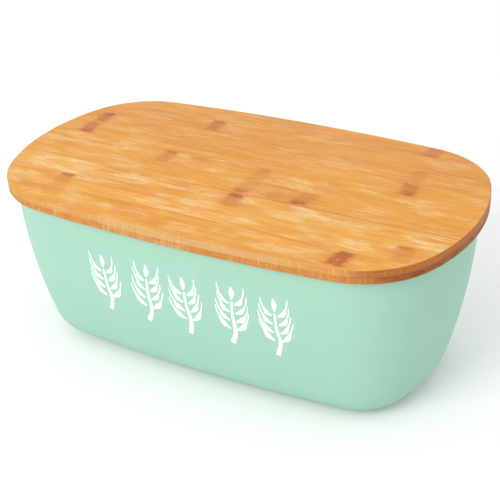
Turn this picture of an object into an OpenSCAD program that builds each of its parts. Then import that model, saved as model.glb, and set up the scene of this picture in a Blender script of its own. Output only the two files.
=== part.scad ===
// Bread bin: a moulded bin with soft corners and bowed sides, and a flat laminated bamboo lid that
// lifts straight off. The origin is at the middle of the base, X runs along the length, the front
// faces -Y and +Z is up.

/* [Lid outline] */
// Length of the lid over its bowed ends
lid_l = 360; // [300:1:440]
// Width of the lid over its bowed long sides
lid_w = 203; // [170:1:250]
// How far each long side bows out at its middle, seen from above
side_bow = 13; // [8:0.5:18]
// How far each end bows out at its middle, seen from above
end_bow = 38; // [30:0.5:44]
// Radius of the four corners, seen from above
corner_r = 64; // [58:1:72]

/* [Lid plies] */
// Thickness of the top ply, whose strips run lengthwise
top_ply_t = 5.3; // [4:0.1:8]
// Thickness of the under ply, whose strips run crosswise
under_ply_t = 5.3; // [5:0.1:8]
// Number of strips in the top ply
top_count = 10; // [6:1:14]
// How much wider than the lid the glued top ply is before the lid is cut out of it
blank_extra_w = 12; // [0:1:20]
// How far the top ply's middle seam lies from the lid's middle, towards the front
seam_shift = 8.5; // [0:0.5:10]
// Number of strips in the under ply
under_count = 18; // [10:1:24]

/* [Bin] */
// Height of the bin from its base to the top of its rim
bin_h = 132.4; // [100:0.1:170]
// Thickness of the moulded wall and base
wall_t = 3; // [2:0.1:4]
// Radius of the slow outward bow of the wall, seen from the side
wall_bow_r = 410; // [380:5:600]
// Radius of the turn from the wall into the base
foot_r = 30; // [22:1:34]

/* [Fit of the lid] */
// How far the lid reaches past the wall all round
overhang = 6.5; // [5:0.5:9]
// Depth of the groove under the lid that takes the rim
groove_d = 3; // [1.5:0.1:4]
// Gap between the rim and each side of the groove
rim_gap = 1; // [0.5:0.1:2]

/* [Hidden] */
// Levels
lid_z = bin_h - groove_d;
seam_z = lid_z + under_ply_t;
top_z = seam_z + top_ply_t;

// Plan outline: two long arcs, two end arcs and four corner arcs, each tangent to the next
half_l = lid_l / 2;
half_w = lid_w / 2;
side_r = (half_l ^ 2 + side_bow ^ 2) / (2 * side_bow);
end_r = (half_w ^ 2 + end_bow ^ 2) / (2 * end_bow);
side_centre = [0, half_w - side_r];
end_centre = [half_l - end_r, 0];

// A corner's centre lies where the corner is tangent inside both the long arc and the end arc
centre_line = end_centre - side_centre;
centre_gap = norm(centre_line);
line_dir = centre_line / centre_gap;
along = ((side_r - corner_r) ^ 2 - (end_r - corner_r) ^ 2 + centre_gap ^ 2) / (2 * centre_gap);
across = sqrt((side_r - corner_r) ^ 2 - along ^ 2);
corner_centre = side_centre + along * line_dir + across * [line_dir.y, -line_dir.x];

// Half of the angle that a long arc and an end arc turn through
side_half = atan2(corner_centre.x, corner_centre.y - side_centre.y);
end_half = atan2(corner_centre.y, corner_centre.x - end_centre.x);

// Even steps along each kind of arc, so that a point lies at the middle of each side and end
side_steps = 6;
end_steps = 8;
corner_steps = 8;

// A station is an arc's centre, its radius and the direction in which one of its points lies
function arc_stations(centre, radius, from, to, steps) =
    [for (k = [0:steps - 1]) [centre, radius, from + (to - from) * k / steps]];

// Half of the way round, from the right end to the left one, and the same turned by half a turn
half_round = concat(
    arc_stations(end_centre, end_r, -end_half, end_half, end_steps),
    arc_stations(corner_centre, corner_r, end_half, 90 - side_half, corner_steps),
    arc_stations(side_centre, side_r, 90 - side_half, 90 + side_half, side_steps),
    arc_stations([-corner_centre.x, corner_centre.y], corner_r, 90 + side_half, 180 - end_half,
        corner_steps)
);
stations = concat(half_round, [for (s = half_round) [-s[0], s[1], s[2] + 180]]);

// The outline as points, pulled in by an even distance
function plan(inset) =
    [for (s = stations) s[0] + (s[1] - inset) * [cos(s[2]), sin(s[2])]];

// Wall section as [inset, height]: the bowed wall is upright at the rim and runs tangent into
// the foot's arc, which is level where it meets the base
wall_steps = 5;
foot_steps = 6;
wall_centre = [overhang + wall_bow_r, bin_h];
wall_turn = asin((bin_h - foot_r) / (wall_bow_r - foot_r));
foot_centre = [wall_centre.x - (wall_bow_r - foot_r) * cos(wall_turn), foot_r];
function section_arc(centre, radius, from, to, steps) =
    [for (k = [0:steps]) let (a = from + (to - from) * k / steps)
        centre - radius * [cos(a), sin(a)]];

// The section of one skin of the shell from its base up to the rim, in from the outer skin by depth
function skin(depth) = concat(
    section_arc(foot_centre, foot_r - depth, 90, wall_turn, foot_steps),
    [for (k = [1:wall_steps])
        section_arc(wall_centre, wall_bow_r - depth, wall_turn, 0, wall_steps)[k]]
);

// Strips of the two plies
top_pitch = (lid_w + blank_extra_w) / top_count;
under_pitch = lid_l / under_count;
strip_tones = ["#EEB063", "#F2B76E", "#E9A85A", "#F0B468"];
under_tones = ["#DE9A55", "#D58F4C", "#E3A25F"];

// A solid whose surface runs through rings of the plan, given as [inset, height], closed by a
// flat face on the first ring and another on the last
module ringed_solid(rings) {
    count = len(stations);
    points = [for (ring = rings) for (p = plan(ring.x)) [p.x, p.y, ring.y]];
    sides = [
        for (r = [0:len(rings) - 2])
            for (k = [0:count - 1])
                let (next = (k + 1) % count)
                    [r * count + k, (r + 1) * count + k, (r + 1) * count + next, r * count + next]
    ];
    first = [for (k = [0:count - 1]) k];
    last = [for (k = [count - 1:-1:0]) (len(rings) - 1) * count + k];
    polyhedron(points, concat(sides, [first, last]));
}

// The moulded bin: bowed wall, rounded foot and flat base in one shell
module bin() {
    inner = skin(wall_t);
    color("#AEDFC9")
        ringed_solid(concat(skin(0), [for (k = [len(inner) - 1:-1:0]) inner[k]]));
}

// A flat slab that fills the lid's outline
module ply(floor_z, thick) {
    translate([0, 0, floor_z])
        linear_extrude(thick)
            polygon(plan(0));
}

// The groove under the lid, open at its lower side, with a gap on each side of the rim
module rim_groove() {
    translate([0, 0, lid_z - groove_d])
        linear_extrude(2 * groove_d)
            difference() {
                polygon(plan(overhang - rim_gap));
                polygon(plan(overhang + wall_t + rim_gap));
            }
}

// The part of a ply between two cuts that run along X
module lengthwise_cut(from_y, to_y) {
    translate([-lid_l, from_y, 0])
        cube([2 * lid_l, to_y - from_y, 2 * top_z]);
}

// The part of a ply between two cuts that run along Y
module crosswise_cut(from_x, to_x) {
    translate([from_x, -lid_w, 0])
        cube([to_x - from_x, 2 * lid_w, 2 * top_z]);
}

// One lengthwise strip of the top ply, counted from the front. The outer two take what is left
// of the ply beyond the last seams.
module top_strip(i) {
    from_y = i == 1 ? -lid_w : (i - 1 - top_count / 2) * top_pitch - seam_shift;
    to_y = i == top_count ? lid_w : (i - top_count / 2) * top_pitch - seam_shift;
    color(strip_tones[i % len(strip_tones)])
        intersection() {
            ply(seam_z, top_ply_t);
            lengthwise_cut(from_y, to_y);
        }
}

// One crosswise strip of the under ply, counted from the left, with its share of the rim groove
module under_strip(i) {
    color(under_tones[i % len(under_tones)])
        difference() {
            intersection() {
                ply(lid_z, under_ply_t);
                crosswise_cut((i - 1) * under_pitch - half_l, i * under_pitch - half_l);
            }
            rim_groove();
        }
}

bin();
for (i = [1:top_count])
    top_strip(i);
for (i = [1:under_count])
    under_strip(i);
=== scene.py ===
"""Builds the looks of a moulded bread bin and its laminated bamboo lid around the CAD model."""
import math
import random

import bmesh
import bpy
from mathutils import Matrix, Vector


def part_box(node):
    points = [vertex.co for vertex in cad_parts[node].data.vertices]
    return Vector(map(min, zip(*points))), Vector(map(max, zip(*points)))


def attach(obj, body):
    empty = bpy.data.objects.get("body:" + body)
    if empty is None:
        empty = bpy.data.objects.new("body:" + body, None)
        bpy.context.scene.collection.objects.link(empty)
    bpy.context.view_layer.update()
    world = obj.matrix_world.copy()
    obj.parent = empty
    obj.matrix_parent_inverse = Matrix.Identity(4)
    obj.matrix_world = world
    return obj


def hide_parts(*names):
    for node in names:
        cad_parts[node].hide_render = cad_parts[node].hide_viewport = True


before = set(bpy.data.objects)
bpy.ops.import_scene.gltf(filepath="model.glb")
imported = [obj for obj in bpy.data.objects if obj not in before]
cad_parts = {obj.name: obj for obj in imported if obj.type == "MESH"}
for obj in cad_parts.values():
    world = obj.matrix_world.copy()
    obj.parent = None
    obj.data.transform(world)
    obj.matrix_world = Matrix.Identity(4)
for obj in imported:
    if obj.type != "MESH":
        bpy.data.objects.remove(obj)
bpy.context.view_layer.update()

bl_info = {
    "name": "Bread Bin",
    "version": (1, 0, 0),
    "blender": (4, 5, 0),
    "location": "View3D > Sidebar > Bread Bin",
    "description": "Models and finishes a moulded bread bin with a laminated bamboo lid",
    "category": "Object",
}

MM = 0.001
UP = Vector((0, 0, 1))
SECTION_AXIS = Vector((0, -1, 0))  # a section is drawn in the plane of X and Z


def strips(start, axis):
    """The nodes whose names begin alike, in their order along an axis."""
    return sorted((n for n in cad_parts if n.startswith(start)), key=lambda n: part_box(n)[0][axis])


TOP_STRIPS = strips("top_strip_", 1)
UNDER_STRIPS = strips("under_strip_", 0)

NO_JOINT = (0, 0.0)

# One row for each strip of the top ply, from the front: its tone, how much of it is pale, which edge its
# bamboo joints darken towards (-1 front, 1 rear), then three joints as (place along X in mm, how dark)
TOP_LOOKS = (
    ("cane_amber", 0.35, 0.0, NO_JOINT, NO_JOINT, NO_JOINT),
    ("cane_honey", 0.60, 0.1, (117, 0.9), NO_JOINT, NO_JOINT),
    ("cane_straw", 0.80, 1.0, (-115, 0.85), (151, 0.70), NO_JOINT),
    ("cane_straw", 1.00, 0.9, (15, 1.0), (-28, 0.25), NO_JOINT),
    ("cane_honey", 0.45, -1.0, (60, 1.0), (14, 0.85), (38, 0.45)),
    ("cane_honey", 0.65, 0.8, (-66, 0.80), (14, 0.50), (-40, 0.15)),
    ("cane_honey", 0.35, -0.4, (121, 0.85), (-153, 0.90), NO_JOINT),
    ("cane_toast", 0.40, 0.5, (-153, 1.0), (119, 0.35), NO_JOINT),
    ("cane_toast", 0.35, 0.4, (-61, 0.85), NO_JOINT, NO_JOINT),
    ("cane_toast", 0.35, -0.3, (115, 0.68), NO_JOINT, NO_JOINT),
)
JOINT_SPAN = 400 * MM  # the stretch along X that holds every joint
JOINT_STAIN = (17 * MM, 3 * MM)  # how far from a joint's middle its faint stain starts, and is full
JOINT_BAND = (8 * MM, 3.4 * MM)  # the same for its dark band
JOINT_SLANT = 4.5 * MM  # the most that a joint slants along X over its strip's width
JOINT_RAG = 5.5 * MM  # the most that the fibres push a joint's outline along X
DARK_SEAM = 4  # the one seam that shows plainly, counted from the front
DARK_SEAM_RUN = (-80 * MM, 80 * MM)  # where along X it starts to darken, and is darkest
PALE_MIDDLE = 15 * MM  # the middle, along X, of the paler stretch of the lid's long edges
PALE_REACH = (100 * MM, 55 * MM)  # how far from that middle it starts, and is full

# The printed ears, in mm and degrees: their leans from the left, and where and how tall they stand
EAR_LEANS = (-2, 3, -3, 2, -2)
FIRST_EAR_X = -64
EAR_PITCH = 34.5
EAR_FOOT_Z = 54
EAR_HEIGHT = 50
PRINT_SEED = 7
INK_DEPTH = 0.08  # the share of a round stroke's depth that the flat ink keeps

FLOOR_DROP = 0.2 * MM  # the floor lies just under the base, so that no two faces coincide
FLOOR_REACH = 6
SMOOTH = {"interpolation_type": "SMOOTHSTEP"}


def length(name, description, default):
    """A length in metres that the sidebar shows in the scene's own unit."""
    return bpy.props.FloatProperty(
        name=name, description=description, default=default, subtype="DISTANCE", unit="LENGTH", precision=5
    )


def tilt(name, description, degrees):
    """An angle, given in degrees."""
    return bpy.props.FloatProperty(
        name=name, description=description, default=math.radians(degrees), subtype="ANGLE"
    )


def number(name, description, default):
    """A plain number."""
    return bpy.props.FloatProperty(name=name, description=description, default=default, precision=4)


def colour(name, description, default):
    """A colour as an sRGB hex value."""
    return bpy.props.StringProperty(name=name, description=description, default=default)


class BreadBinSizes(bpy.types.PropertyGroup):
    side_bow: length("Side bow", "How far a long side bows out, seen from above", 13 * MM)
    end_bow: length("End bow", "How far an end bows out, seen from above", 38 * MM)
    corner_r: length("Corner radius", "Radius of the corners, seen from above", 64 * MM)
    wall_t: length("Wall", "Thickness of the moulded wall and base", 3 * MM)
    wall_bow_r: length("Wall bow", "Radius of the wall's slow bow, seen from the side", 410 * MM)
    foot_r: length("Foot radius", "Radius of the turn into the base", 30 * MM)
    rim_gap: length("Rim gap", "Gap beside the rim in the lid's groove", 1 * MM)
    groove_d: length("Groove depth", "Depth of the groove that takes the rim", 3 * MM)
    arris: length("Arris", "Radius of the lid's sanded edges", 1.1 * MM)
    step: length("Step", "Length of a facet along a curve", 4 * MM)


class BreadBinFinish(bpy.types.PropertyGroup):
    bin_colour: colour("Bin", "Colour of the moulded bin", "#98C2AF")
    fleck: colour("Fleck", "Colour of the fine flecks in the bin", "#8FC7AD")
    print_colour: colour("Print", "Colour of the printed wheat", "#F4F8F6")
    print_thin: colour("Thin print", "Colour of the print where the ink is thin", "#EEF8F3")
    cane_amber: colour("Amber cane", "Tone of the front strip of the top", "#D8943C")
    cane_honey: colour("Honey cane", "Tone of the middle strips of the top", "#DC9A3C")
    cane_straw: colour("Straw cane", "Tone of the palest strips of the top", "#E0A246")
    cane_toast: colour("Toasted cane", "Tone of the rear strips of the top", "#DA9640")
    fibre_dark: colour("Dark fibre", "Colour of the dark fibres on the lid", "#C87F2C")
    fibre_pale: colour("Pale fibre", "Colour of the pale patches on the lid", "#E9C68C")
    joint_mid: colour("Bamboo joint", "Colour of the soft part of a bamboo joint", "#BE6A2A")
    joint_dark: colour("Joint core", "Colour of the darkest part of a bamboo joint", "#9A5228")
    glue: colour("Glue line", "Colour of the lines between strips", "#A2561C")
    edge_amber: colour("Edge", "Colour of the lid's long edges", "#C48C44")
    # A paler tone of the edge, laid on a stretch of the long edges and in slow patches
    edge_pale: colour("Worn edge", "Colour of the paler stretch of the edge", "#C49A64")
    edge_warm: colour("Warm edge", "Colour of the dark ticks and strips along the edge", "#B26A30")
    edge_low: colour("Lower edge", "Colour of the under ply along the lid's long edges", "#BC7E38")
    # The end colours are end grain, laid on fully at the right end and faintly at the left, as painted shade
    top_end: colour("Top strip ends", "Colour of the ends of the top strips", "#A8642C")
    top_end_dark: colour("Dark strip ends", "Colour of the dark lines in those ends", "#804A1C")
    under_colour: colour("Under ply", "Colour of the under ply", "#D68A3C")
    under_warm: colour("Warm strip", "Colour of the darkest strips of the under ply", "#A9561C")
    under_end: colour("Under ply ends", "Colour of the under ply at the lid's ends", "#94521E")
    under_end_dark: colour("Stained ends", "Colour of the stains at the lid's ends", "#643010")
    floor_colour: colour("Floor", "Colour of the studio floor", "#F9F9F9")


class BreadBinStage(bpy.types.PropertyGroup):
    azimuth: tilt("Azimuth", "Turn of the camera from the front", 30.17)
    elevation: tilt("Elevation", "Height of the camera as an angle", 30.54)
    roll: tilt("Roll", "Tilt of the camera about its own axis", 2.74)
    distance: length("Distance", "From the camera to the point it looks at", 0.8642)
    target_z: length("Target height", "Height of the point that the camera looks at", 60 * MM)
    lens: number("Lens", "Focal length in mm", 81.2)
    sensor: number("Sensor", "Width of the sensor in mm", 36)
    shift_x: number("Shift across", "Sideways shift of the lens, as a share of the sensor", 0.0076)
    shift_y: number("Shift up", "Upward shift of the lens, as a share of the sensor", 0.0337)


# --- curves and sweeps -----------------------------------------------------------------------


class Plan:
    """The plan outline: two long arcs, two end arcs and four corner arcs, each tangent to the next."""

    def __init__(self, sizes):
        low = [min(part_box(n)[0][k] for n in TOP_STRIPS) for k in range(3)]
        high = [max(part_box(n)[1][k] for n in TOP_STRIPS) for k in range(3)]
        self.half_l, self.half_w = (high[0] - low[0]) / 2, (high[1] - low[1]) / 2
        self.side_r = (self.half_l**2 + sizes.side_bow**2) / (2 * sizes.side_bow)
        self.end_r = (self.half_w**2 + sizes.end_bow**2) / (2 * sizes.end_bow)
        self.corner_r = sizes.corner_r
        self.side_centre = Vector((0, self.half_w - self.side_r, 0))
        self.end_centre = Vector((self.half_l - self.end_r, 0, 0))
        between = self.end_centre - self.side_centre
        side_reach, end_reach = self.side_r - self.corner_r, self.end_r - self.corner_r
        along = (side_reach**2 - end_reach**2 + between.length_squared) / (2 * between.length)
        across = math.sqrt(side_reach**2 - along**2)
        line = between.normalized()
        self.corner_centre = self.side_centre + along * line + across * Vector((line.y, -line.x, 0))
        self.side_half = math.atan2(self.corner_centre.x, self.corner_centre.y - self.side_centre.y)
        self.end_half = math.atan2(self.corner_centre.y, self.corner_centre.x - self.end_centre.x)

    def arcs(self):
        """Each arc's centre, radius and turn, from the middle of the right end anticlockwise."""
        corner_turn = math.pi / 2 - self.side_half - self.end_half
        end, side, corner = self.end_centre, self.side_centre, self.corner_centre
        flip_x, flip_y = Vector((-1, 1, 1)), Vector((1, -1, 1))
        return [
            (end, self.end_r, self.end_half),
            (corner, self.corner_r, corner_turn),
            (side, self.side_r, 2 * self.side_half),
            (corner * flip_x, self.corner_r, corner_turn),
            (end * flip_x, self.end_r, 2 * self.end_half),
            (corner * flip_x * flip_y, self.corner_r, corner_turn),
            (side * flip_y, self.side_r, 2 * self.side_half),
            (corner * flip_y, self.corner_r, corner_turn),
            (end, self.end_r, self.end_half),
        ]


class Wall:
    """The bin's wall: bowed, upright at the rim, and tangent to the foot's arc."""

    def __init__(self, sizes, plan):
        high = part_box("bin")[1]
        self.overhang = plan.half_l - high.x
        self.height = high.z
        self.bow_r, self.foot_r, self.t = sizes.wall_bow_r, sizes.foot_r, sizes.wall_t
        self.turn = math.asin((self.height - self.foot_r) / (self.bow_r - self.foot_r))
        self.bow_x = high.x - self.bow_r
        self.foot_x = self.bow_x + (self.bow_r - self.foot_r) * math.cos(self.turn)

    def inset(self, z):
        """How far the outer skin lies inside the lid's outline at a height on the bowed wall."""
        return self.overhang + self.bow_r - math.sqrt(self.bow_r**2 - (self.height - z) ** 2)


def line_to(bm, vert, x, z):
    """Draws the section on in a straight line, and gives its new end."""
    end = bmesh.ops.extrude_vert_indiv(bm, verts=[vert])["verts"][0]
    end.co = (x, 0, z)
    return end


def turn_to(bm, vert, centre, angle, step):
    """Draws the section on along an arc, and gives its new end. A positive angle turns X to Z."""
    centre = Vector((centre[0], 0, centre[1]))
    steps = max(3, round(abs(angle) * (vert.co - centre).length / step))
    made = bmesh.ops.spin(bm, geom=[vert], cent=centre, axis=SECTION_AXIS, angle=angle, steps=steps)
    return next(g for g in made["geom_last"] if isinstance(g, bmesh.types.BMVert))


def sweep_round(bm, plan, step):
    """Sweeps all that is drawn round the plan, and closes it where it meets its start."""
    geom = bm.verts[:] + bm.edges[:]
    for centre, radius, turn in plan.arcs():
        steps = max(4, round(radius * turn / step))
        geom = bmesh.ops.spin(bm, geom=geom, cent=centre, axis=UP, angle=turn, steps=steps)["geom_last"]
    bmesh.ops.remove_doubles(bm, verts=bm.verts, dist=0.01 * MM)


def close_rings(bm):
    """Fills the open rings that a sweep leaves, and points every face outwards."""
    bmesh.ops.edgeloop_fill(bm, edges=[e for e in bm.edges if e.is_boundary])
    bmesh.ops.recalc_face_normals(bm, faces=bm.faces)


def finish_piece(bm, name, body, material, node=None, sharp=math.radians(35)):
    """Makes a piece of a bmesh, gives it its finish and lets it ride on its body."""
    mesh = bpy.data.meshes.new(name)
    bm.to_mesh(mesh)
    bm.free()
    mesh.shade_smooth()
    mesh.set_sharp_from_angle(angle=sharp)
    mesh.materials.append(material)
    piece = bpy.data.objects.new(name, mesh)
    bpy.context.scene.collection.objects.link(piece)
    if node:
        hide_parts(node)
    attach(piece, body)


# --- materials -------------------------------------------------------------------------------


def linear(text):
    """An sRGB hex value as a linear colour with full alpha."""
    values = [int(text[k : k + 2], 16) / 255 for k in (1, 3, 5)]
    return [v / 12.92 if v <= 0.04045 else ((v + 0.055) / 1.055) ** 2.4 for v in values] + [1.0]


def add(tree, kind, sockets=(), out=None, **settings):
    """Adds a node with its settings and links, and gives its first output, or the one named.

    A socket takes a value or another node's output. A tuple fills the sockets in order, and a dict
    fills them by name.
    """
    node = tree.nodes.new("ShaderNode" + kind)
    for name, value in settings.items():
        setattr(node, name, value)
    if isinstance(sockets, dict):
        inputs, sockets = [node.inputs[name] for name in sockets], sockets.values()
    else:
        inputs = [socket for socket in node.inputs if socket.enabled]
    for socket, value in zip(inputs, sockets):
        if isinstance(value, bpy.types.NodeSocket):
            tree.links.new(value, socket)
        else:
            socket.default_value = value
    shown = {socket.name: socket for socket in node.outputs if socket.enabled}
    return shown[out] if out else next(iter(shown.values()), None)


def new_material(name):
    """An empty material and its node tree."""
    material = bpy.data.materials.new(name)
    material.use_nodes = True
    material.node_tree.nodes.clear()
    return material, material.node_tree


def patterns(tree, coords, rows):
    """Noise patterns, each from its features' size in mm along X, Y and Z, its detail and its roughness."""
    made = []
    for k, (size, detail, roughness) in enumerate(rows):
        scale = [1 / (mm * MM) for mm in size]
        place = add(tree, "Mapping", {"Vector": coords, "Location": (7 * k, 3 * k, 5 * k), "Scale": scale})
        sockets = {"Vector": place, "Scale": 1.0, "Detail": detail, "Roughness": roughness}
        made.append(add(tree, "TexNoise", sockets))
    return made


def layered(tree, tone, layers):
    """Lays colours over a tone: each row is a pattern, its start and full values, a share and a colour."""
    for pattern, start, full, share, over in layers:
        amount = add(tree, "MapRange", (pattern, start, full, 0.0, share), **SMOOTH)
        tone = add(tree, "Mix", (amount, tone, over), data_type="RGBA")
    return tone


def surface(tree, sockets, height, depth):
    """Ends a material: the shader, over a bump of a height pattern whose full depth is in metres."""
    normal = add(tree, "Bump", {"Height": height, "Distance": depth, "Strength": 1.0})
    shader = add(tree, "BsdfPrincipled", {**sockets, "Normal": normal})
    add(tree, "OutputMaterial", {"Surface": shader})


def moulded_bin(finish):
    """Taken to be bamboo fibre and melamine, pressed in a polished mould: satin, with a faint orange peel.

    Flecks much finer than 1.2 mm would not show, so they are drawn that wide.
    """
    material, tree = new_material("moulded_bamboo_fibre_melamine")
    coords = add(tree, "TexCoord", out="Object")
    cloud, fleck, peel = patterns(
        tree, coords, (((30, 30, 30), 3.0, 0.5), ((1.2, 1.2, 1.2), 2.0, 0.5), ((2.2, 2.2, 2.2), 1.0, 0.5))
    )
    base = linear(finish.bin_colour)
    deep = [0.985 * c for c in base[:3]] + [1.0]
    toned = layered(tree, base, (
        (cloud, 0.3, 0.7, 1.0, deep),
        (fleck, 0.62, 0.78, 0.10, linear(finish.fleck)),
    ))
    rough = add(tree, "MapRange", (cloud, 0.2, 0.8, 0.46, 0.52))
    sockets = {"Base Color": toned, "Roughness": rough, "IOR": 1.5, "Specular IOR Level": 0.22}
    surface(tree, sockets, peel, 0.03 * MM)
    return material


def screen_print(finish):
    """Matt white screen ink: a thin even film with slightly ragged edges."""
    material, tree = new_material("white_screen_ink")
    coords = add(tree, "TexCoord", out="Object")
    film = patterns(tree, coords, (((1.5, 1.5, 1.5), 3.0, 0.5),))[0]
    toned = layered(tree, linear(finish.print_colour), ((film, 0.55, 0.8, 0.5, linear(finish.print_thin)),))
    surface(tree, {"Base Color": toned, "Roughness": 0.55, "IOR": 1.5}, film, 0.01 * MM)
    return material


def fibres(tree, coords, axis):
    """Fibres along an axis: streaks, hairs, slow bands, pale patches, short dashes and blotches.

    Real fibres are 0.2 to 0.4 mm wide. They are drawn two to four times as wide so that they show.
    """
    rows = []
    for run, width, detail, roughness in (
        (38, 1.5, 3.0, 0.55),
        (12, 0.9, 2.0, 0.60),
        (80, 8.0, 2.0, 0.50),
        (30, 11.0, 3.0, 0.58),
        (5, 0.9, 1.0, 0.50),
        (5, 3.0, 2.0, 0.50),
    ):
        size = [width] * 3
        size[axis] = run
        rows.append((size, detail, roughness))
    return patterns(tree, coords, rows)


def edge_grain(tree, coords):
    """The lid's edge: fine upright ticks, thin level lines, slow changes and stains."""
    return patterns(tree, coords, (
        ((1.0, 1.0, 12), 3.0, 0.65),
        ((26, 26, 0.9), 2.0, 0.50),
        ((24, 24, 24), 2.0, 0.50),
        ((8, 8, 3), 2.0, 0.50),
    ))


def edge_places(tree, z):
    """Where a surface is the lid's edge, how far it faces endwards, and the line between the plies.

    Both ends take the dark end grain, and the right end is darker still as painted shade, so the left counts
    as facing less far endwards.
    """
    normal = add(tree, "SeparateXYZ", (add(tree, "NewGeometry", out="Normal"),)).node.outputs
    level = add(tree, "Math", (normal[2],), operation="ABSOLUTE")
    edge = add(tree, "MapRange", (level, 0.92, 0.55), **SMOOTH)
    # Painted shade: faces towards the right count in full, and faces towards the left only a quarter
    left = add(tree, "Math", (normal[0], -0.25), operation="MULTIPLY")
    end_grain_and_shade = add(tree, "Math", (normal[0], left), operation="MAXIMUM")
    above = add(tree, "Math", (z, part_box(TOP_STRIPS[0])[0].z), operation="SUBTRACT")
    beside = add(tree, "Math", (above,), operation="ABSOLUTE")
    # The line between the plies is darker on the right end as well, partly as painted shade
    strength = add(tree, "MapRange", (end_grain_and_shade, 0.0, 0.5, 0.12, 0.75))
    line = add(tree, "MapRange", (beside, 0.6 * MM, 0.15 * MM, 0.0, strength), **SMOOTH)
    return edge, end_grain_and_shade, line


def seams(tree, place, share):
    """A thin line at each whole number of a place counted in strips."""
    shifted = add(tree, "Math", (place, 0.5), operation="ADD")
    wrapped = add(tree, "Math", (shifted,), operation="FRACT")
    off = add(tree, "Math", (wrapped, 0.5), operation="SUBTRACT")
    beside = add(tree, "Math", (off,), operation="ABSOLUTE")
    return add(tree, "MapRange", (beside, 0.030, 0.008, 0.0, share), **SMOOTH)


def strip_looks(tree, strip, finish):
    """What TOP_LOOKS says of the strip at hand, held by three ramps with one step for each strip.

    It gives the tone, the pale share, the joints' places from 0 to 1 over JOINT_SPAN, their lean from
    0 to 1, and how dark they are. The third ramp's alpha holds nothing and is left off.
    """
    count = len(TOP_LOOKS)
    middle = add(tree, "Math", (strip, 0.5), operation="ADD")
    share = add(tree, "Math", (middle, float(count)), operation="DIVIDE")
    tones, places, darks = [], [], []
    for tone, pale, lean, *joints in TOP_LOOKS:
        tones.append([*linear(getattr(finish, tone))[:3], pale])
        places.append([x * MM / JOINT_SPAN + 0.5 for x, dark in joints] + [lean / 2 + 0.5])
        darks.append([dark for x, dark in joints] + [1.0])
    outputs = []
    for steps in (tones, places, darks):
        node = add(tree, "ValToRGB", (share,)).node
        ramp = node.color_ramp
        ramp.interpolation = "CONSTANT"
        for k, step in enumerate(steps):
            stop = ramp.elements[k] if k < 2 else ramp.elements.new(k / count)
            stop.position, stop.color = k / count, step
        outputs += [node.outputs["Color"], node.outputs["Alpha"]]
    return outputs[:5]


def cane_joints(tree, toned, run, across, strip, looks, blotch, finish):
    """Paints the joints of the cane: short brushed bands across a strip, darker towards one edge."""
    places, lean, darks = looks
    places = add(tree, "SeparateXYZ", (places,)).node.outputs
    darks = add(tree, "SeparateXYZ", (darks,)).node.outputs
    chance = add(tree, "TexWhiteNoise", (strip,), out="Color", noise_dimensions="1D")
    chance = add(tree, "SeparateXYZ", (chance,)).node.outputs
    middle = add(tree, "Math", (across, 0.5), operation="SUBTRACT")
    slope = add(tree, "MapRange", (chance[0], 0.0, 1.0, -JOINT_SLANT, JOINT_SLANT))
    tilted = add(tree, "Math", (middle, slope, run), operation="MULTIPLY_ADD")
    wide = add(tree, "MapRange", (chance[1], 0.0, 1.0, 0.8, 1.2))

    # The side of a joint that it doesn't lean towards stays lighter
    lean = add(tree, "MapRange", (lean, 0.0, 1.0, -1.0, 1.0))
    side = add(tree, "Math", (lean,), operation="SIGN")
    strength = add(tree, "Math", (lean,), operation="ABSOLUTE")
    towards = add(tree, "Math", (middle, side), operation="MULTIPLY")
    lighter = add(tree, "MapRange", (strength, 0.0, 1.0, 1.0, 0.42))
    weight = add(tree, "MapRange", (towards, 0.02, 0.40, lighter, 1.0), **SMOOTH)
    uneven = add(tree, "MapRange", (blotch, 0.0, 1.0, -0.12, 0.12))
    lower = add(tree, "Math", (across, uneven), operation="ADD")
    upper = add(tree, "Math", (across, uneven), operation="SUBTRACT")
    for pattern, start, full in ((lower, 0.0, 0.16), (upper, 1.0, 0.88), (blotch, 0.10, 0.46)):
        weight = add(tree, "MapRange", (pattern, start, full, 0.0, weight), **SMOOTH)

    for place, dark in zip(places, darks):
        centre = add(tree, "MapRange", (place, 0.0, 1.0, -JOINT_SPAN / 2, JOINT_SPAN / 2))
        off = add(tree, "Math", (tilted, centre), operation="SUBTRACT")
        away = add(tree, "Math", (off,), operation="ABSOLUTE")
        away = add(tree, "Math", (away, wide), operation="DIVIDE")
        faint = add(tree, "Math", (dark, 0.22), operation="MULTIPLY")
        most = add(tree, "Math", (dark, weight), operation="MULTIPLY")
        mark = add(tree, "MapRange", (away, *JOINT_BAND, 0.0, most), **SMOOTH)
        toned = layered(tree, toned, (
            (away, *JOINT_STAIN, faint, linear(finish.joint_mid)),
            (away, *JOINT_BAND, most, linear(finish.joint_mid)),
            (mark, 0.50, 1.02, 0.68, linear(finish.joint_dark)),
        ))
    return toned


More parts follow.
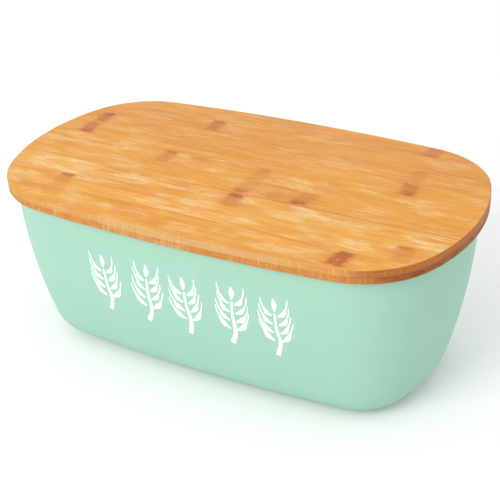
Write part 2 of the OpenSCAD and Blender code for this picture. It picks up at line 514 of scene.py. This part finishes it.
def top_bamboo(finish):
    """Carbonised bamboo strips, glued, sanded and oiled: long fibres, dark joints, satin sheen."""
    material, tree = new_material("oiled_bamboo_lengthwise")
    coords = add(tree, "TexCoord", out="Object")
    x, y, z = add(tree, "SeparateXYZ", (coords,)).node.outputs
    count = len(TOP_STRIPS)
    first_seam, last_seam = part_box(TOP_STRIPS[0])[1].y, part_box(TOP_STRIPS[-1])[0].y
    pitch = (last_seam - first_seam) / (count - 2)
    counted = add(tree, "MapRange", (y, first_seam - pitch, last_seam + pitch, 0.0, float(count)))
    place = add(tree, "Math", (counted, count - 0.5), operation="MINIMUM")
    strip = add(tree, "Math", (place,), operation="FLOOR")
    across = add(tree, "Math", (place,), operation="FRACT")
    tone, pale_share, *joint_looks = strip_looks(tree, strip, finish)

    # Each strip is a different piece of cane, so its fibres start from another place
    offset = add(tree, "Math", (strip, 0.713), operation="MULTIPLY")
    shifted = add(tree, "CombineXYZ", (offset, 0.0, 0.0))
    own = add(tree, "VectorMath", (coords, shifted), operation="ADD")
    streak, hair, band, patch, dash, blotch = fibres(tree, own, 0)

    dark, pale, glue = linear(finish.fibre_dark), linear(finish.fibre_pale), linear(finish.glue)
    brushed = add(tree, "MapRange", (hair, 0.64, 0.38, 0.35, 1.0), **SMOOTH)
    patched = add(tree, "Math", (brushed, pale_share), operation="MULTIPLY")
    toned = layered(tree, tone, (
        (band, 0.42, 0.66, 0.45, dark),
        (patch, 0.46, 0.68, patched, pale),
        (streak, 0.50, 0.76, 0.55, dark),
        (streak, 0.48, 0.28, 0.25, pale),
        (hair, 0.50, 0.72, 0.42, dark),
        (dash, 0.66, 0.78, 0.25, linear(finish.joint_mid)),
    ))
    ragged = add(tree, "MapRange", (hair, 0.0, 1.0, -JOINT_RAG, JOINT_RAG))
    run = add(tree, "Math", (x, ragged), operation="ADD")
    toned = cane_joints(tree, toned, run, across, strip, joint_looks, blotch, finish)

    # Glue lines are faint, but for one seam that is plainly darker towards the right
    nearest = add(tree, "Math", (place,), operation="ROUND")
    chosen = add(tree, "Math", (nearest, float(DARK_SEAM), 0.1), operation="COMPARE")
    darker = add(tree, "MapRange", (x, *DARK_SEAM_RUN, 0.30, 0.64), **SMOOTH)
    share = add(tree, "MapRange", (chosen, 0.0, 1.0, 0.14, darker))
    toned = layered(tree, toned, ((seams(tree, place, share), 0.0, 1.0, 1.0, glue),))

    # The edge has an amber tone, a paler stretch in front and behind, and dark ends of end grain, darker at
    # the right end as painted shade
    edge, end_grain_and_shade, line = edge_places(tree, z)
    tick, level, slow, _ = edge_grain(tree, coords)
    off = add(tree, "Math", (x, PALE_MIDDLE), operation="SUBTRACT")
    from_middle = add(tree, "Math", (off,), operation="ABSOLUTE")
    pale_edge = linear(finish.edge_pale)
    end_tone = layered(tree, linear(finish.top_end), (
        (level, 0.46, 0.66, 0.60, linear(finish.top_end_dark)),
        (tick, 0.46, 0.30, 0.40, linear(finish.edge_amber)),
    ))
    side = layered(tree, linear(finish.edge_amber), (
        (from_middle, *PALE_REACH, 0.85, pale_edge),
        (slow, 0.52, 0.64, 0.70, pale_edge),
        (level, 0.50, 0.70, 0.40, linear(finish.edge_warm)),
        (tick, 0.52, 0.70, 0.35, linear(finish.edge_warm)),
        (tick, 0.42, 0.28, 0.50, pale),
        (end_grain_and_shade, 0.10, 0.50, 1.0, end_tone),
        (line, 0.0, 1.0, 1.0, glue),
    ))
    toned = layered(tree, toned, ((edge, 0.0, 1.0, 1.0, side),))
    rough = add(tree, "MapRange", (streak, 0.2, 0.8, 0.42, 0.56))
    relief = add(tree, "Math", (hair, 0.5, streak), operation="MULTIPLY_ADD")
    sockets = {"Base Color": toned, "Roughness": rough, "IOR": 1.45, "Specular IOR Level": 0.28}
    surface(tree, sockets, relief, 0.06 * MM)
    return material


def under_bamboo(finish):
    """Bamboo strips laid crosswise: end grain on the lid's long edges, fibres along Y below."""
    material, tree = new_material("oiled_bamboo_crosswise")
    coords = add(tree, "TexCoord", out="Object")
    x, _, z = add(tree, "SeparateXYZ", (coords,)).node.outputs
    first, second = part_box(UNDER_STRIPS[0])[0].x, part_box(UNDER_STRIPS[1])[0].x
    past = add(tree, "Math", (x, first), operation="SUBTRACT")
    place = add(tree, "Math", (past, second - first), operation="DIVIDE")
    strip = add(tree, "Math", (place,), operation="FLOOR")
    offset = add(tree, "Math", (strip, 0.517), operation="MULTIPLY")
    shifted = add(tree, "CombineXYZ", (0.0, offset, 0.0))
    own = add(tree, "VectorMath", (coords, shifted), operation="ADD")
    streak, hair, band, patch, dash, blotch = fibres(tree, own, 1)
    pick = add(tree, "TexWhiteNoise", (strip,), noise_dimensions="1D")
    base, warm, pale = linear(finish.under_colour), linear(finish.under_warm), linear(finish.fibre_pale)
    toned = layered(tree, base, (
        (pick, 0.0, 1.0, 0.30, warm),
        (band, 0.44, 0.70, 0.20, warm),
        (patch, 0.50, 0.70, 0.28, pale),
        (streak, 0.48, 0.76, 0.50, warm),
        (hair, 0.52, 0.78, 0.30, warm),
        (dash, 0.66, 0.78, 0.35, linear(finish.joint_mid)),
        (blotch, 0.64, 0.80, 0.25, linear(finish.joint_mid)),
        (seams(tree, place, 0.4), 0.0, 1.0, 1.0, linear(finish.glue)),
    ))

    # The lid's edge: each strip's end has its own tone, with dark ticks and stains, and the right end is
    # darker still as painted shade
    edge, end_grain_and_shade, line = edge_places(tree, z)
    tick, level, slow, stain = edge_grain(tree, coords)
    end_tone = layered(tree, linear(finish.under_end), (
        (stain, 0.42, 0.66, 0.60, linear(finish.under_end_dark)),
        (level, 0.46, 0.30, 0.40, linear(finish.top_end)),
    ))
    side = layered(tree, linear(finish.edge_low), (
        (pick, 0.45, 0.95, 0.35, linear(finish.edge_warm)),
        (slow, 0.52, 0.64, 0.45, linear(finish.edge_pale)),
        (stain, 0.50, 0.68, 0.55, linear(finish.edge_warm)),
        (tick, 0.50, 0.66, 0.75, linear(finish.edge_warm)),
        (tick, 0.43, 0.29, 0.50, pale),
        (end_grain_and_shade, 0.18, 0.75, 1.0, end_tone),
        (line, 0.0, 1.0, 1.0, linear(finish.glue)),
    ))
    toned = layered(tree, toned, ((edge, 0.0, 1.0, 1.0, side),))
    rough = add(tree, "MapRange", (streak, 0.2, 0.8, 0.48, 0.62))
    sockets = {"Base Color": toned, "Roughness": rough, "IOR": 1.45, "Specular IOR Level": 0.28}
    surface(tree, sockets, streak, 0.05 * MM)
    return material


def matt_floor(finish):
    """Painted studio floor: even and matt, with a barely seen roller texture."""
    material, tree = new_material("matt_white_paint")
    coords = add(tree, "TexCoord", out="Object")
    roller = patterns(tree, coords, (((3, 3, 3), 2.0, 0.5),))[0]
    sockets = {"Base Color": linear(finish.floor_colour), "Roughness": 0.9, "Specular IOR Level": 0.1}
    surface(tree, sockets, roller, 0.01 * MM)
    return material


# --- pieces ----------------------------------------------------------------------------------


class BREADBIN_OT_bin(bpy.types.Operator):
    """Models the moulded bin as one closed shell with a rounded rim"""

    bl_idname = "breadbin.bin"
    bl_label = "Bin"

    def execute(self, context):
        sizes, finish = context.scene.bread_sizes, context.scene.bread_finish
        plan = Plan(sizes)
        wall = Wall(sizes, plan)
        rim_r = wall.t / 2
        rim_z = wall.height - rim_r
        rise = wall.turn - math.asin(rim_r / wall.bow_r)
        foot, bow = (wall.foot_x, wall.foot_r), (wall.bow_x, wall.height)
        bm = bmesh.new()
        vert = bm.verts.new((wall.foot_x, 0, 0))
        vert = turn_to(bm, vert, foot, math.pi / 2 - wall.turn, sizes.step / 2)
        vert = turn_to(bm, vert, bow, rise, sizes.step)
        vert = turn_to(bm, vert, (vert.co.x - rim_r, rim_z), math.pi, sizes.step / 8)
        vert = turn_to(bm, vert, bow, -rise, sizes.step)
        turn_to(bm, vert, foot, wall.turn - math.pi / 2, sizes.step / 2)
        sweep_round(bm, plan, sizes.step)
        close_rings(bm)
        finish_piece(bm, "bin_shell", "bin", moulded_bin(finish), node="bin", sharp=math.radians(60))
        return {"FINISHED"}


def ply_section(bm, plan, wall, sizes, grooved):
    """Draws a ply's section from where the plies meet, round its outer edge, and the groove if it has one."""
    node = UNDER_STRIPS[0] if grooved else TOP_STRIPS[0]
    low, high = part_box(node)[0].z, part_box(node)[1].z
    edge, arris = plan.half_l, sizes.arris
    if not grooved:
        vert = bm.verts.new((edge, 0, low))
        vert = line_to(bm, vert, edge, high - arris)
        turn_to(bm, vert, (edge - arris, high - arris), math.pi / 2, arris / 4)
        return
    outer = edge - wall.overhang + sizes.rim_gap
    inner = edge - wall.overhang - wall.t - sizes.rim_gap
    vert = bm.verts.new((edge, 0, high))
    vert = line_to(bm, vert, edge, low + arris)
    vert = turn_to(bm, vert, (edge - arris, low + arris), -math.pi / 2, arris / 4)
    for x, z in ((outer, low), (outer, low + sizes.groove_d), (inner, low + sizes.groove_d), (inner, low)):
        vert = line_to(bm, vert, x, z)


def cut_strip(ply, axis, start, stop):
    """A copy of a ply cut down to what lies between two planes across an axis."""
    bm = ply.copy()
    for place, side in ((start, -1), (stop, 1)):
        if place is None:
            continue
        geom = bm.verts[:] + bm.edges[:] + bm.faces[:]
        normal = Vector((0, 0, 0))
        normal[axis] = side
        point = Vector((0, 0, 0))
        point[axis] = place
        cut = bmesh.ops.bisect_plane(
            bm, geom=geom, dist=0.001 * MM, plane_co=point, plane_no=normal, clear_outer=True
        )["geom_cut"]
        bmesh.ops.edgeloop_fill(bm, edges=[e for e in cut if isinstance(e, bmesh.types.BMEdge)])
    bmesh.ops.recalc_face_normals(bm, faces=bm.faces)
    return bm


def make_strips(context, nodes, axis, grooved, material):
    """Models a ply in one piece and cuts it into its strips."""
    sizes = context.scene.bread_sizes
    plan = Plan(sizes)
    wall = Wall(sizes, plan)
    ply = bmesh.new()
    ply_section(ply, plan, wall, sizes, grooved)
    sweep_round(ply, plan, sizes.step)
    close_rings(ply)
    for k, node in enumerate(nodes):
        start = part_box(node)[0][axis] if k > 0 else None
        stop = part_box(node)[1][axis] if k < len(nodes) - 1 else None
        finish_piece(cut_strip(ply, axis, start, stop), node + "_board", "lid", material, node=node)
    ply.free()


class BREADBIN_OT_top_ply(bpy.types.Operator):
    """Models the lengthwise strips of the lid's top ply"""

    bl_idname = "breadbin.top_ply"
    bl_label = "Top ply"

    def execute(self, context):
        material = top_bamboo(context.scene.bread_finish)
        make_strips(context, TOP_STRIPS, 1, False, material)
        return {"FINISHED"}


class BREADBIN_OT_under_ply(bpy.types.Operator):
    """Models the crosswise strips of the lid's under ply, with the groove for the rim"""

    bl_idname = "breadbin.under_ply"
    bl_label = "Under ply"

    def execute(self, context):
        material = under_bamboo(context.scene.bread_finish)
        make_strips(context, UNDER_STRIPS, 0, True, material)
        return {"FINISHED"}


# --- print -----------------------------------------------------------------------------------


def add_stroke(curve, rng, points, widths):
    """Adds a brush stroke through points in the plane of X and Z, with a width at each, all in mm."""
    spline = curve.splines.new("BEZIER")
    spline.bezier_points.add(len(points) - 1)
    for point, (x, z), width in zip(spline.bezier_points, points, widths):
        point.co = (x * MM, 0, z * MM)
        point.radius = width * MM / 2 * rng.uniform(0.9, 1.1)
        point.handle_left_type = point.handle_right_type = "AUTO"


def wheat_ear(curve, rng, base, height, lean):
    """Draws one wheat ear in mm: a stem, pairs of bearded grains that stand clear of it, and a top grain."""
    def draw(points, widths):
        s, c = math.sin(lean), math.cos(lean)
        turned = [(base[0] + x * c + z * s, base[1] + z * c - x * s) for x, z in points]
        add_stroke(curve, rng, turned, widths)

    bend = rng.uniform(0.8, 1.4)
    stem = [(-2 * bend, 0), (bend, 0.24 * height), (0, 0.48 * height), (0, 0.76 * height)]
    draw(stem, (3.4, 2.8, 2.2, 1.5))
    pairs, first, last = 4, 0.23, 0.69
    for k in range(pairs):
        root = (first + (last - first) * k / (pairs - 1)) * height
        for side in (-1, 1):
            angle = math.radians(rng.uniform(37, 43))
            reach = rng.uniform(13.0, 14.0) * (1 - 0.09 * k)
            across, up = side * math.sin(angle), math.cos(angle)
            points = [(side * 1.2 + across * t * reach, root + up * t * reach) for t in (0.18, 0.62, 1.12)]
            points[1] = (points[1][0] + 0.9 * side, points[1][1] - 1.0)
            draw(points, (1.3, 4.1 - 0.2 * k, 0.8))
            tip_x, tip_z = points[-1]
            beard = (tip_x + side * rng.uniform(1.5, 2.5), tip_z + rng.uniform(7, 9))
            draw([points[-1], (tip_x + side * 1.2, tip_z + 3.5), beard], (0.9, 0.9, 0.6))
    tip = 0.80 * height
    draw([(0, tip), (0.4, tip + 5), (0, tip + 10.5)], (1.2, 4.2, 0.8))


class BREADBIN_OT_print(bpy.types.Operator):
    """Prints a row of wheat ears in white on the front of the bin"""

    bl_idname = "breadbin.print"
    bl_label = "Print"

    def execute(self, context):
        sizes, finish = context.scene.bread_sizes, context.scene.bread_finish
        plan = Plan(sizes)
        wall = Wall(sizes, plan)
        rng = random.Random(PRINT_SEED)
        curve = bpy.data.curves.new("wheat", "CURVE")
        curve.dimensions = "3D"
        curve.bevel_depth = 1.0  # so a point's radius is the stroke's own
        curve.bevel_resolution = 2
        curve.resolution_u = 8
        curve.use_fill_caps = True
        for k, lean in enumerate(EAR_LEANS):
            base = (FIRST_EAR_X + EAR_PITCH * k, EAR_FOOT_Z + rng.uniform(-1, 1))
            wheat_ear(curve, rng, base, EAR_HEIGHT + rng.uniform(-1.5, 1.5), math.radians(lean))
        drawn = bpy.data.objects.new("wheat", curve)
        context.scene.collection.objects.link(drawn)
        mesh = bpy.data.meshes.new_from_object(drawn.evaluated_get(context.evaluated_depsgraph_get()))
        bpy.data.objects.remove(drawn)
        bm = bmesh.new()
        bm.from_mesh(mesh)
        bpy.data.meshes.remove(mesh)
        bmesh.ops.remove_doubles(bm, verts=bm.verts, dist=0.005 * MM)
        for vert in bm.verts:
            reach = math.sqrt((plan.side_r - wall.inset(vert.co.z)) ** 2 - vert.co.x**2)
            vert.co.y = vert.co.y * INK_DEPTH - plan.side_centre.y - reach
        bmesh.ops.recalc_face_normals(bm, faces=bm.faces)
        finish_piece(bm, "wheat_print", "bin", screen_print(finish), sharp=math.radians(60))
        return {"FINISHED"}


# --- stage -----------------------------------------------------------------------------------


def soft_light(name, place, aim, size, power, tone):
    """A large square lamp that looks at a point."""
    lamp = bpy.data.lights.new(name, "AREA")
    lamp.size, lamp.energy, lamp.color = size, power, tone
    holder = bpy.data.objects.new(name, lamp)
    holder.location = place
    holder.rotation_euler = (Vector(aim) - Vector(place)).to_track_quat("-Z", "Y").to_euler()
    bpy.context.scene.collection.objects.link(holder)


class BREADBIN_OT_stage(bpy.types.Operator):
    """Sets up the pale floor, the soft studio light and the camera"""

    bl_idname = "breadbin.stage"
    bl_label = "Stage"

    def execute(self, context):
        scene, stage, finish = context.scene, context.scene.bread_stage, context.scene.bread_finish
        bm = bmesh.new()
        below = Matrix.Translation((0, 0, -FLOOR_DROP))
        bmesh.ops.create_grid(bm, x_segments=1, y_segments=1, size=FLOOR_REACH, matrix=below)
        mesh = bpy.data.meshes.new("studio_floor")
        bm.to_mesh(mesh)
        bm.free()
        mesh.materials.append(matt_floor(finish))
        floor = bpy.data.objects.new("studio_floor", mesh)
        scene.collection.objects.link(floor)

        world = bpy.data.worlds.new("soft_room")
        world.use_nodes = True
        world.node_tree.nodes.clear()
        sky = add(world.node_tree, "Background", {"Color": (1, 1, 1, 1), "Strength": 0.95})
        add(world.node_tree, "OutputWorld", {"Surface": sky})
        scene.world = world
        aim = (0, 0, 60 * MM)
        soft_light("window_left", (-0.6, -2.0, 1.3), aim, size=1.2, power=29, tone=(1.0, 0.99, 0.97))
        soft_light("fill_right", (1.8, 0.3, 0.8), aim, size=1.4, power=1.8, tone=(0.98, 0.99, 1.0))

        turn, lift = stage.azimuth, stage.elevation
        back = Vector((math.sin(turn) * math.cos(lift), -math.cos(turn) * math.cos(lift), math.sin(lift)))
        level = Vector((math.cos(turn), math.sin(turn), 0))
        upright = back.cross(level)
        right = level * math.cos(stage.roll) - upright * math.sin(stage.roll)
        above = back.cross(right)
        camera_data = bpy.data.cameras.new("studio_camera")
        camera_data.lens, camera_data.sensor_width = stage.lens, stage.sensor
        camera_data.shift_x, camera_data.shift_y = stage.shift_x, stage.shift_y
        camera = bpy.data.objects.new("studio_camera", camera_data)
        place = Vector((0, 0, stage.target_z)) + back * stage.distance
        camera.matrix_world = Matrix.Translation(place) @ Matrix((right, above, back)).transposed().to_4x4()
        scene.collection.objects.link(camera)
        scene.camera = camera
        scene.view_settings.view_transform = "Standard"
        return {"FINISHED"}


class BREADBIN_PT_sidebar(bpy.types.Panel):
    """Lists the bin's sizes, its finishes and the operators that make it"""

    bl_label = "Bread Bin"
    bl_idname = "BREADBIN_PT_sidebar"
    bl_space_type = "VIEW_3D"
    bl_region_type = "UI"
    bl_category = "Bread Bin"

    def draw(self, context):
        for group in (context.scene.bread_sizes, context.scene.bread_finish, context.scene.bread_stage):
            box = self.layout.box()
            for name in group.bl_rna.properties.keys():
                if name not in ("rna_type", "name"):
                    box.prop(group, name)
        for operator in OPERATORS:
            self.layout.operator(operator.bl_idname)


OPERATORS = (
    BREADBIN_OT_bin,
    BREADBIN_OT_top_ply,
    BREADBIN_OT_under_ply,
    BREADBIN_OT_print,
    BREADBIN_OT_stage,
)
CLASSES = (BreadBinSizes, BreadBinFinish, BreadBinStage, *OPERATORS, BREADBIN_PT_sidebar)


def register():
    for cls in CLASSES:
        bpy.utils.register_class(cls)
    bpy.types.Scene.bread_sizes = bpy.props.PointerProperty(type=BreadBinSizes)
    bpy.types.Scene.bread_finish = bpy.props.PointerProperty(type=BreadBinFinish)
    bpy.types.Scene.bread_stage = bpy.props.PointerProperty(type=BreadBinStage)


def unregister():
    del bpy.types.Scene.bread_stage
    del bpy.types.Scene.bread_finish
    del bpy.types.Scene.bread_sizes
    for cls in reversed(CLASSES):
        bpy.utils.unregister_class(cls)


def main():
    register()
    bpy.ops.breadbin.bin()
    bpy.ops.breadbin.top_ply()
    bpy.ops.breadbin.under_ply()
    bpy.ops.breadbin.print()
    bpy.ops.breadbin.stage()


if __name__ == "__main__":
    main()
